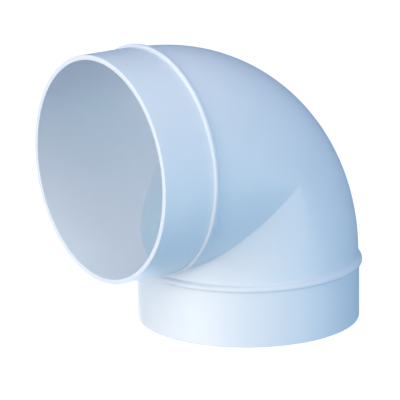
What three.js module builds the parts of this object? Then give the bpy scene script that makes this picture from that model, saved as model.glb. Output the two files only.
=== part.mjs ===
// A 90 degree elbow for 100 mm round ventilation duct, moulded in one piece of hard plastic.
// Two equal round spigots, each with a half-round stop bead, are joined by a hollow bend.
// Each feature of the moulding is one closed body, and neighbours keep a hairline gap.
//
// Millimetres, +Z up. The inlet opens towards -X and the outlet opens down.
// The origin is under the middle of the part, on the surface that the outlet rim stands on.

import * as THREE from "three";

// Driving dimensions
const spigotRadius = 50; // outside of each spigot
const boreRadius = 47.8; // one plain bore runs from rim to rim
const bendOuterRadius = 49.6; // the bend is slightly slimmer than the spigots
const bendRadius = 50.5; // of the bend's centre line
const legLength = 80; // from the crossing of the two centre lines to each rim
const beadDistance = 53.3; // from the same crossing to the middle of each stop bead
const beadWidth = 2.6;
const beadHeight = 1.3; // above the spigots' outside
const rimOuterRounding = 0.5;
const rimInnerRounding = 0.3;
const hairlineGap = 0.3;

// Fineness of the curved faces
const ringSteps = 48;
const bendSteps = 16;
const beadSteps = 8;
const roundingSteps = 3;

// Values that follow from the driving dimensions
const quarterTurn = Math.PI / 2;
const beadTopRadius = spigotRadius + beadHeight;
const beadOuterEnd = beadDistance + beadWidth / 2;
const beadInnerEnd = beadDistance - beadWidth / 2;
const straightStub = beadInnerEnd - hairlineGap - bendRadius; // between the bend and a bead

function makePlastic() {
  return new THREE.MeshStandardMaterial({ color: 0xdde8f2, roughness: 0.35, metalness: 0 });
}

function makeMesh(name, geometry) {
  const mesh = new THREE.Mesh(geometry, makePlastic());
  mesh.name = name;
  return mesh;
}

// Points of a circular arc. The angle is measured from the outward direction towards the rim.
function arc(centreRadius, centreHeight, radius, height, startAngle, endAngle, steps) {
  const points = [];
  for (let step = 0; step <= steps; step += 1) {
    const angle = startAngle + ((endAngle - startAngle) * step) / steps;
    const x = centreRadius + radius * Math.cos(angle);
    const y = centreHeight + height * Math.sin(angle);
    points.push(new THREE.Vector2(x, y));
  }
  return points;
}

// A ring around the Y axis, from a cross-section that is closed by repeating its first point.
function makeRing(section) {
  return new THREE.LatheGeometry([...section, section[0]], ringSteps);
}

// The sleeve that a duct pushes over. Its rim has a flat face between two rounded edges.
function makeSpigot(name) {
  const outerEdge = arc(
    spigotRadius - rimOuterRounding,
    legLength - rimOuterRounding,
    rimOuterRounding,
    rimOuterRounding,
    0,
    quarterTurn,
    roundingSteps,
  );
  const innerEdge = arc(
    boreRadius + rimInnerRounding,
    legLength - rimInnerRounding,
    rimInnerRounding,
    rimInnerRounding,
    quarterTurn,
    2 * quarterTurn,
    roundingSteps,
  );
  const backEnd = beadOuterEnd + hairlineGap;
  const back = [new THREE.Vector2(boreRadius, backEnd), new THREE.Vector2(spigotRadius, backEnd)];
  return makeMesh(name, makeRing([...outerEdge, ...innerEdge, ...back]));
}

// The raised ring that stops the duct. It takes in the wall under it, down to the bore.
function makeStopBead(name) {
  const crown = arc(
    bendOuterRadius,
    beadDistance,
    beadTopRadius - bendOuterRadius,
    beadWidth / 2,
    -quarterTurn,
    quarterTurn,
    beadSteps,
  );
  const bore = [
    new THREE.Vector2(boreRadius, beadOuterEnd),
    new THREE.Vector2(boreRadius, beadInnerEnd),
  ];
  return makeMesh(name, makeRing([...crown, ...bore]));
}

// One leg, built along +Y from the crossing of the centre lines and then turned into place.
function makeLeg(name, turn) {
  const leg = new THREE.Group();
  leg.add(makeSpigot(`${name}_spigot`), makeStopBead(`${name}_stop_bead`));
  leg.rotation.copy(turn);
  return leg;
}

// One cross-section of a tube that turns from the inlet leg (angle 0) to the outlet leg (a quarter
// turn). Outside the centre line it is a round bend. Inside, the two legs run straight on until
// they meet in a mitre, which gives the sharp inner corner. "lean" is the angle to the nearer leg.
function bendSection(radius, angle, slide) {
  const lean = Math.min(angle, quarterTurn - angle);
  const changeover = Math.asin((bendRadius * Math.tan(lean / 2) ** 2) / radius);
  const halfSteps = ringSteps / 2;
  const sweep = (Math.PI - 2 * changeover) / halfSteps;
  const points = [];
  for (let step = 0; step < ringSteps; step += 1) {
    const isInner = step >= halfSteps;
    const start = isInner ? Math.PI + changeover : changeover;
    const turn = start + sweep * (step % halfSteps);
    const stretch = isInner ? 1 / Math.cos(lean) : 1;
    const reach = stretch * (bendRadius + radius * Math.sin(turn));
    const x = -bendRadius + reach * Math.sin(angle) - slide.inlet;
    const z = -bendRadius + reach * Math.cos(angle) - slide.outlet;
    points.push([x, radius * Math.cos(turn), z]);
  }
  return points;
}

// All cross-sections of one tube, from the inlet's bead to the outlet's bead.
function bendSections(radius) {
  const sections = [bendSection(radius, 0, { inlet: straightStub, outlet: 0 })];
  for (let step = 0; step <= bendSteps; step += 1) {
    const angle = (quarterTurn * step) / bendSteps;
    sections.push(bendSection(radius, angle, { inlet: 0, outlet: 0 }));
  }
  sections.push(bendSection(radius, quarterTurn, { inlet: 0, outlet: straightStub }));
  return sections;
}

// The bend's wall: along the outside from inlet to outlet and back along the bore, so the strip of
// cross-sections closes on itself and both ends are closed by the last strips.
function makeBend(name) {
  const sections = [...bendSections(bendOuterRadius), ...bendSections(boreRadius).reverse()];
  const indices = [];
  for (let row = 0; row < sections.length; row += 1) {
    const nextRow = (row + 1) % sections.length;
    for (let column = 0; column < ringSteps; column += 1) {
      const nextColumn = (column + 1) % ringSteps;
      const a = row * ringSteps + column;
      const b = nextRow * ringSteps + column;
      const c = nextRow * ringSteps + nextColumn;
      const d = row * ringSteps + nextColumn;
      indices.push(a, c, b, a, d, c);
    }
  }
  const geometry = new THREE.BufferGeometry();
  geometry.setAttribute("position", new THREE.Float32BufferAttribute(sections.flat(2), 3));
  geometry.setIndex(indices);
  geometry.computeVertexNormals();
  return makeMesh(name, geometry);
}

const elbow = new THREE.Group();
elbow.add(
  makeLeg("inlet", new THREE.Euler(0, 0, quarterTurn)),
  makeBend("bend_shell"),
  makeLeg("outlet", new THREE.Euler(-quarterTurn, 0, 0)),
);

// The part reaches from a rim on one side to the top of a bead on the other.
elbow.position.set((legLength - beadTopRadius) / 2, 0, legLength);

export default elbow;
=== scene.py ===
"""A white plastic 90 degree duct elbow, standing on its outlet rim on a pale studio floor."""

import math

import bmesh
import bpy
import numpy as np
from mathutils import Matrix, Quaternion, Vector


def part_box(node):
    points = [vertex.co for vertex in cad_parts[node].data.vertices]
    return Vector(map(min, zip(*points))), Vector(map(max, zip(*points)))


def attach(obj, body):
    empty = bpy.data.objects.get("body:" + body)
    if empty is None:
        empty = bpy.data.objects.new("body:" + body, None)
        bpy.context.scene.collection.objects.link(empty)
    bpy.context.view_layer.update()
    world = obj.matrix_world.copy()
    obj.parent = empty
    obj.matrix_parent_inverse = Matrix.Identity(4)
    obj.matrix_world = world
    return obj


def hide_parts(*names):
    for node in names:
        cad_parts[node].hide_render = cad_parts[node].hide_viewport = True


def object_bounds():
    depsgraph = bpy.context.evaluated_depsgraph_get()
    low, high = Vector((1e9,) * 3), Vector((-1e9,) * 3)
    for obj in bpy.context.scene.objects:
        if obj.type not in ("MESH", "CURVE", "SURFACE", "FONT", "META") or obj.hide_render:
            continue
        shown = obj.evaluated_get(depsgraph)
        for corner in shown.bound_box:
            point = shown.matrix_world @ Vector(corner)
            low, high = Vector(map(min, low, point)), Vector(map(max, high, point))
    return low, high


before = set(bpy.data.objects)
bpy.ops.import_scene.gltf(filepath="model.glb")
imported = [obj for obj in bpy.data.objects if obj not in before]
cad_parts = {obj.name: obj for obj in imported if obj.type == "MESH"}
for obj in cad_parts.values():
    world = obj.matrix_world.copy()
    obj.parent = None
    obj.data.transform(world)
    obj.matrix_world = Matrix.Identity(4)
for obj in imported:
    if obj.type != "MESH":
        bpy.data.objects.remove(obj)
cad_low, cad_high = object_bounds()

MM = 0.001
TINY = 1e-9  # guards divisions and roots against zero

# Fineness of the meshes
RING_STEPS = 240
BEND_STEPS = 96  # even, so that one cross-section lies in the mitre plane
BEND_CROWDING = 1.6  # above 1 crowds the cross-sections towards the mitre
ROUND_STEPS = 8
SHARP_EDGE = 40  # degrees, from which an edge is shaded as sharp

# Small roundings that the plain CAD solids leave out
RIM_OUTER_ROUNDING = 0.5 * MM
RIM_INNER_ROUNDING = 0.3 * MM
BEAD_STOP_ROUNDING = 0.6 * MM  # at the top of the side that stops the duct
BEAD_STOP_FOOT = 0.5 * MM  # hollow rounding where that side meets the spigot
BEAD_BACK_ROUNDING = 1.6 * MM  # at the top of the side that faces the bend
BEAD_BACK_FOOT = 1.0 * MM  # hollow rounding where that side meets the bend
MITRE_BLEND = 0.25 * MM  # in the inner corner, where the two legs meet
TUBE_BLEND = 0.35 * MM  # where the bent tube cuts the legs off

# Straight wall that the pieces take in
BEAD_PIECE_MARGIN = 1.8 * MM  # on a bead piece, beyond the bead on the spigot's side
BEND_PIECE_MARGIN = 0.1 * MM  # on the bend piece, beyond each end of the turn

# The plastic. Each noise has the width of its spots, and each relief has its depth.
PLASTIC_COLOR = (0.845, 0.872, 0.908)
PLASTIC_SHADE = (0.815, 0.848, 0.892)
PLASTIC_ROUGHNESS = (0.36, 0.45)
CLOUD_WIDTH = 22 * MM
SHEEN_PATCH_WIDTH = 6 * MM
WAVE_WIDTH = 9 * MM
WAVE_DEPTH = 0.04 * MM
GRAIN_WIDTH = 0.7 * MM
GRAIN_DEPTH = 0.006 * MM
NOISE_MIDDLE = (0.25, 0.75)  # the range that most of a noise keeps to

# The studio
SUN_WIDTH = 50  # degrees
FILL_COLOR = (0.0, 0.07, 0.23)
# Name, azimuth and elevation in degrees, and colour times strength
SOFTBOXES = [
    ("inlet_side", -90, -5, (0.65, 0.63, 0.55)),
    ("inlet_side_high", -90, 30, (0.36, 0.35, 0.33)),
    ("front", -10, 30, (0.27, 0.27, 0.24)),
    ("front_right", 30, -5, (0.18, 0.22, 0.27)),
    ("front_low", 30, -40, (0.05, 0.13, 0.13)),
    ("overhead", 0, 90, (0.22, 0.26, 0.27)),
    ("back_below", 150, -40, (0.78, 0.85, 0.83)),
]
FLOOR_HALF_WIDTH = 3
FLOOR_GREY = 0.5
FLOOR_ROUGHNESS = 0.9
FLOOR_GLOW = 0.8  # with the lamps' light on the grey, this makes it white
BACKDROP_GLOW = 1.1  # a little over plain white, so that it never shows as grey

# The camera. Its angles are in degrees.
CAMERA_AZIMUTH = -35.8
CAMERA_ELEVATION = 15.23
CAMERA_ROLL = -0.71
CAMERA_DISTANCE = 1.326
CAMERA_AIM = (-6.6 * MM, 7.2 * MM, -10.4 * MM)  # from the middle of the CAD model
CAMERA_LENS = 268.2  # in mm, for the sensor below
CAMERA_SENSOR = 36
CAMERA_CLIP = (0.1, 20)


def measured_sizes():
    """The elbow's sizes, read from the CAD nodes. "crossing" is where the two centre lines cross."""
    inlet_low, inlet_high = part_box("inlet_spigot")
    outlet_low, outlet_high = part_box("outlet_spigot")
    bead_low, bead_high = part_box("inlet_stop_bead")
    bend_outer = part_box("bend_shell")[1].y
    crossing = Vector(((outlet_low.x + outlet_high.x) / 2, 0, (inlet_low.z + inlet_high.z) / 2))
    spigot_points = [v.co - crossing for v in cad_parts["inlet_spigot"].data.vertices]
    bend_points = [v.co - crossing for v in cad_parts["bend_shell"].data.vertices]
    # The heel is the bend's furthest point along the diagonal. Its distance gives the bend's radius.
    heel = max((p.x + p.z) / math.sqrt(2) for p in bend_points)
    return {
        "crossing": crossing,
        "spigot": inlet_high.y,
        "bore": min(math.hypot(p.y, p.z) for p in spigot_points),
        "bend_outer": bend_outer,
        "bend_radius": (bend_outer - heel) / (math.sqrt(2) - 1),
        "leg": crossing.x - inlet_low.x,
        "bead_distance": crossing.x - (bead_low.x + bead_high.x) / 2,
        "bead_half_width": (bead_high.x - bead_low.x) / 2,
        "bead_top": bead_high.y,
    }


size = measured_sizes()
# The angles of the points round a ring
turns = np.linspace(0, 2 * math.pi, RING_STEPS, endpoint=False)
# Where each bead piece starts and ends, as distances from the crossing
bead_piece_start = size["bend_radius"] + BEND_PIECE_MARGIN
bead_piece_end = size["bead_distance"] + size["bead_half_width"] + BEAD_PIECE_MARGIN


def ring_on_inlet(radius, distance):
    """A ring of points round the inlet leg, at a distance from the crossing."""
    ring = [np.full(RING_STEPS, -distance), radius * np.cos(turns), radius * np.sin(turns)]
    return np.stack(ring, axis=1)


def ring_on_outlet(radius, distance):
    """The same ring round the outlet leg. Both start from +Y, so that rings meet point to point."""
    ring = [radius * np.sin(turns), radius * np.cos(turns), np.full(RING_STEPS, -distance)]
    return np.stack(ring, axis=1)


def larger_rounded(a, b, width):
    """The larger of two distances, with the corner where they cross filled by a blend."""
    overlap = np.maximum(width - np.abs(a - b), 0) / width
    return np.maximum(a, b) + overlap**2 * width / 4


def smaller_rounded(a, b, width):
    """The smaller of two distances, with the corner where they cross rounded off."""
    return -larger_rounded(-a, -b, width)


def reach_in_leg(radius, angle):
    """How far each ray of a cross-section runs from the bend's centre line to a straight leg's wall,
    where the leg is turned from the cross-section by an angle. Rays that never meet it give 0."""
    across = np.cos(turns)
    along = np.sin(turns) * math.cos(angle)
    offset = size["bend_radius"] * (1 - math.cos(angle))
    square = along**2 + across**2
    under_root = (along * offset) ** 2 + square * (radius**2 - offset**2)
    root = np.sqrt(np.maximum(under_root, 0))
    return np.where(under_root > 0, (along * offset + root) / np.maximum(square, TINY), 0)


def ring_on_bend(radius, angle):
    """A cross-section of the bend, from the inlet leg (angle 0) to the outlet leg (a quarter turn).
    Two straight legs join in a mitre, and a round bent tube cuts off what stands outside it."""
    inlet_reach = reach_in_leg(radius, angle)
    outlet_reach = reach_in_leg(radius, math.pi / 2 - angle)
    legs = larger_rounded(inlet_reach, outlet_reach, MITRE_BLEND)
    blend = TUBE_BLEND * math.sin(2 * angle)
    tube = np.full(RING_STEPS, radius)
    reach = smaller_rounded(legs, tube, blend) if blend > TINY else np.minimum(legs, tube)
    out = size["bend_radius"] + reach * np.sin(turns)
    x = out * math.sin(angle) - size["bend_radius"]
    z = out * math.cos(angle) - size["bend_radius"]
    return np.stack([x, reach * np.cos(turns), z], axis=1)


def arc(centre, radius, start, end):
    """(radius, distance) points of an arc. Its angles are in degrees: 0 points away from the centre
    line of the leg, and 90 points towards the rim."""
    angles = np.radians(np.linspace(start, end, ROUND_STEPS + 1))
    return [(centre[0] + radius * math.cos(a), centre[1] + radius * math.sin(a)) for a in angles]


def spigot_outline():
    """(radius, distance) points round a spigot's wall: out to the rim, over it, and back in the bore."""
    outer, inner = RIM_OUTER_ROUNDING, RIM_INNER_ROUNDING
    points = [(size["spigot"], bead_piece_end)]
    points += arc((size["spigot"] - outer, size["leg"] - outer), outer, 0, 90)
    points += arc((size["bore"] + inner, size["leg"] - inner), inner, 90, 180)
    points += [(size["bore"], bead_piece_end)]
    return points


def bead_side(wall_radius, rounding, foot, direction):
    """One side of a bead: a rounding at the top, then a hollow foot that runs out into the wall.
    The direction is 1 towards the rim and -1 towards the bend."""
    centre = size["bead_top"] - rounding
    rise = max(wall_radius + foot - centre, 0)
    run = math.sqrt((rounding + foot) ** 2 - rise**2)
    touch = math.degrees(math.atan2(run, rise))
    middle = size["bead_distance"] + direction * (size["bead_half_width"] - rounding)
    top_arc = arc((centre, 0), rounding, 0, touch)
    foot_arc = arc((wall_radius + foot, run), foot, touch + 180, 180)
    return [(r, middle + direction * d) for r, d in top_arc + foot_arc]


def bead_outline():
    """(radius, distance) points round a stop bead and the wall under it."""
    back_side = bead_side(size["bend_outer"], BEAD_BACK_ROUNDING, BEAD_BACK_FOOT, -1)
    stop_side = bead_side(size["spigot"], BEAD_STOP_ROUNDING, BEAD_STOP_FOOT, 1)
    points = [(size["bend_outer"], bead_piece_start)]
    points += back_side[::-1]
    points += stop_side
    points += [(size["spigot"], bead_piece_end)]
    points += [(size["bore"], bead_piece_end), (size["bore"], bead_piece_start)]
    return points


def bend_rings(radius):
    """The rings of one wall of the bend, from bead to bead."""
    steps = np.linspace(-1, 1, BEND_STEPS + 1)
    angles = math.pi / 4 * (1 + np.sign(steps) * np.abs(steps) ** BEND_CROWDING)
    rings = [ring_on_inlet(radius, bead_piece_start)]
    rings += [ring_on_bend(radius, angle) for angle in angles]
    rings += [ring_on_outlet(radius, bead_piece_start)]
    return rings


def closed_piece(name, rings):
    """A closed body: rings joined in order, and the last one joined to the first."""
    mesh = bpy.data.meshes.new(name)
    piece = bpy.data.objects.new(name, mesh)
    bpy.context.scene.collection.objects.link(piece)
    bm = bmesh.new()
    rows = [[bm.verts.new(size["crossing"] + Vector(point)) for point in ring] for ring in rings]
    for row, next_row in zip(rows, rows[1:] + rows[:1]):
        for column in range(RING_STEPS):
            before = column - 1
            bm.faces.new((row[before], row[column], next_row[column], next_row[before]))
    bmesh.ops.recalc_face_normals(bm, faces=bm.faces)
    for edge in bm.edges:
        edge.smooth = edge.calc_face_angle() < math.radians(SHARP_EDGE)
    for face in bm.faces:
        face.smooth = True
    bm.to_mesh(mesh)
    bm.free()
    return piece


def add_piece(name, node, rings, material):
    """One piece of the elbow, which stands for one CAD node."""
    piece = closed_piece(name, rings)
    piece.data.materials.append(material)
    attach(piece, "root")
    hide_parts(node)


def add_noise(tree, width, detail):
    """Soft random spots of about the given width, fixed in the part's own frame."""
    place = tree.nodes.new("ShaderNodeTexCoord")
    noise = tree.nodes.new("ShaderNodeTexNoise")
    noise.inputs["Scale"].default_value = 1 / width
    noise.inputs["Detail"].default_value = detail
    tree.links.new(place.outputs["Object"], noise.inputs["Vector"])
    return noise.outputs["Fac"]


def add_range(tree, value, low, high):
    """Stretches the middle of a noise to run from low to high."""
    stretch = tree.nodes.new("ShaderNodeMapRange")
    stretch.inputs["From Min"].default_value = NOISE_MIDDLE[0]
    stretch.inputs["From Max"].default_value = NOISE_MIDDLE[1]
    stretch.inputs["To Min"].default_value = low
    stretch.inputs["To Max"].default_value = high
    tree.links.new(value, stretch.inputs["Value"])
    return stretch.outputs["Result"]


def add_bump(tree, height, depth, normal=None):
    """Relief of a real depth. It can lie on top of another relief."""
    bump = tree.nodes.new("ShaderNodeBump")
    bump.inputs["Strength"].default_value = 1
    bump.inputs["Distance"].default_value = depth
    tree.links.new(height, bump.inputs["Height"])
    if normal:
        tree.links.new(normal, bump.inputs["Normal"])
    return bump.outputs["Normal"]


def make_plastic():
    """White moulded plastic: a cool tint with faint clouds, and the fine grain and slight waviness
    that the mould leaves, which break up the soft sheen."""
    material = bpy.data.materials.new("white_plastic")
    material.use_nodes = True
    tree = material.node_tree
    shader = tree.nodes["Principled BSDF"]

    tint = tree.nodes.new("ShaderNodeMix")
    tint.data_type = "RGBA"
    tint.inputs["A"].default_value = (*PLASTIC_SHADE, 1)
    tint.inputs["B"].default_value = (*PLASTIC_COLOR, 1)
    clouds = add_noise(tree, CLOUD_WIDTH, detail=3)
    tree.links.new(add_range(tree, clouds, 0, 1), tint.inputs["Factor"])
    tree.links.new(tint.outputs["Result"], shader.inputs["Base Color"])

    sheen_patches = add_noise(tree, SHEEN_PATCH_WIDTH, detail=4)
    roughness = add_range(tree, sheen_patches, *PLASTIC_ROUGHNESS)
    tree.links.new(roughness, shader.inputs["Roughness"])

    waves = add_bump(tree, add_noise(tree, WAVE_WIDTH, detail=1), WAVE_DEPTH)
    grain = add_bump(tree, add_noise(tree, GRAIN_WIDTH, detail=2), GRAIN_DEPTH, waves)
    tree.links.new(grain, shader.inputs["Normal"])
    return material


def make_floor():
    """A wide white floor. Only the camera sees it, so it neither lights nor tints the part."""
    half = FLOOR_HALF_WIDTH
    mesh = bpy.data.meshes.new("floor")
    corners = [(-half, -half, 0), (half, -half, 0), (half, half, 0), (-half, half, 0)]
    mesh.from_pydata(corners, [], [(0, 1, 2, 3)])
    floor = bpy.data.objects.new("floor", mesh)
    bpy.context.scene.collection.objects.link(floor)
    material = bpy.data.materials.new("pale_floor")
    material.use_nodes = True
    shader = material.node_tree.nodes["Principled BSDF"]
    shader.inputs["Base Color"].default_value = (FLOOR_GREY, FLOOR_GREY, FLOOR_GREY, 1)
    shader.inputs["Roughness"].default_value = FLOOR_ROUGHNESS
    shader.inputs["Emission Color"].default_value = (1, 1, 1, 1)
    shader.inputs["Emission Strength"].default_value = FLOOR_GLOW
    mesh.materials.append(material)
    floor.visible_diffuse = False
    floor.visible_glossy = False
    floor.visible_shadow = False


def view_direction(azimuth, elevation):
    """The unit vector from the object towards a camera. Azimuth 0 looks along +Y."""
    a, e = math.radians(azimuth), math.radians(elevation)
    return Vector((math.sin(a) * math.cos(e), -math.cos(a) * math.cos(e), math.sin(e)))


def make_camera():
    """A long lens from the inlet's side, a little above, as a catalogue picture is taken."""
    data = bpy.data.cameras.new("camera")
    data.sensor_width = CAMERA_SENSOR
    data.lens = CAMERA_LENS
    data.clip_start, data.clip_end = CAMERA_CLIP
    camera = bpy.data.objects.new("camera", data)
    bpy.context.scene.collection.objects.link(camera)
    back = view_direction(CAMERA_AZIMUTH, CAMERA_ELEVATION)
    aim = (cad_low + cad_high) / 2 + Vector(CAMERA_AIM)
    camera.location = aim + back * CAMERA_DISTANCE
    upright = (-back).to_track_quat("-Z", "Y")
    camera.rotation_mode = "QUATERNION"
    camera.rotation_quaternion = upright @ Quaternion((0, 0, 1), math.radians(CAMERA_ROLL))
    bpy.context.scene.camera = camera


def make_soft_sun(name, azimuth, elevation, color):
    """A far, wide lamp, as soft as a big softbox. Its colour is what a white wall facing it shows."""
    data = bpy.data.lights.new(name, "SUN")
    data.angle = math.radians(SUN_WIDTH)
    data.energy = math.pi
    data.color = color
    light = bpy.data.objects.new(name, data)
    bpy.context.scene.collection.objects.link(light)
    light.rotation_mode = "QUATERNION"
    light.rotation_quaternion = (-view_direction(azimuth, elevation)).to_track_quat("-Z", "Y")


def make_world():
    """Dim blue light from all around, behind a white backdrop that only the camera sees."""
    world = bpy.data.worlds.new("studio")
    world.use_nodes = True
    nodes = world.node_tree.nodes
    links = world.node_tree.links
    fill = nodes["Background"]
    fill.inputs["Color"].default_value = (*FILL_COLOR, 1)
    backdrop = nodes.new("ShaderNodeBackground")
    backdrop.inputs["Color"].default_value = (1, 1, 1, 1)
    backdrop.inputs["Strength"].default_value = BACKDROP_GLOW
    light_path = nodes.new("ShaderNodeLightPath")
    mix = nodes.new("ShaderNodeMixShader")
    links.new(light_path.outputs["Is Camera Ray"], mix.inputs["Fac"])
    links.new(fill.outputs["Background"], mix.inputs[1])
    links.new(backdrop.outputs["Background"], mix.inputs[2])
    links.new(mix.outputs["Shader"], nodes["World Output"].inputs["Surface"])
    bpy.context.scene.world = world


plastic = make_plastic()
legs = {"inlet": ring_on_inlet, "outlet": ring_on_outlet}
for leg, ring_on_leg in legs.items():
    spigot_rings = [ring_on_leg(*point) for point in spigot_outline()]
    add_piece(f"{leg}_spigot_moulding", f"{leg}_spigot", spigot_rings, plastic)
    bead_rings = [ring_on_leg(*point) for point in bead_outline()]
    add_piece(f"{leg}_bead_moulding", f"{leg}_stop_bead", bead_rings, plastic)
bend = bend_rings(size["bend_outer"]) + bend_rings(size["bore"])[::-1]
add_piece("bend_moulding", "bend_shell", bend, plastic)

make_floor()
make_camera()
make_world()
for softbox in SOFTBOXES:
    make_soft_sun(*softbox)
bpy.context.scene.view_settings.view_transform = "Standard"
